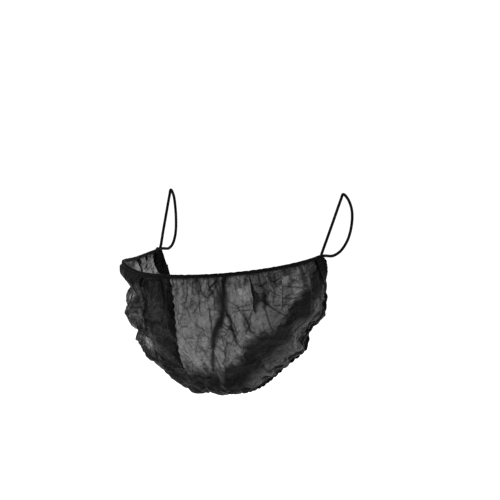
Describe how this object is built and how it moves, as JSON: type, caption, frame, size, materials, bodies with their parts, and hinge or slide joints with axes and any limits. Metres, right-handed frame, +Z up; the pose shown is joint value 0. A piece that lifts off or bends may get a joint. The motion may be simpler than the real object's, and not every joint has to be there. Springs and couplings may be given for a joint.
{
  "type": "disposable beard net",
  "caption": "Black disposable beard net: a gathered sheer non-woven pouch with elastic edges and elastic cord ear loops, in its worn form.",
  "frame": {"origin": "midway between the crowns of the two ear loops, where the net hangs on the ears", "axes": "+Z up, -Y towards the front of the face, +X to the wearer's left"},
  "size_m": [0.1606, 0.1308, 0.1471],
  "materials": {
    "net_cloth": "sheer black spunbond non-woven cloth, crumpled and matte",
    "elastic_edge": "black cloth folded and gathered over an elastic thread",
    "elastic_cord": "black knitted round elastic cord"
  },
  "bodies": {
    "root": {"net_body": "net_cloth", "top_band": "elastic_edge", "bottom_band": "elastic_edge", "end_gather_left": "elastic_edge", "end_gather_right": "elastic_edge", "ear_loop_left": "elastic_cord", "ear_loop_right": "elastic_cord"}
  },
  "joints": []
}
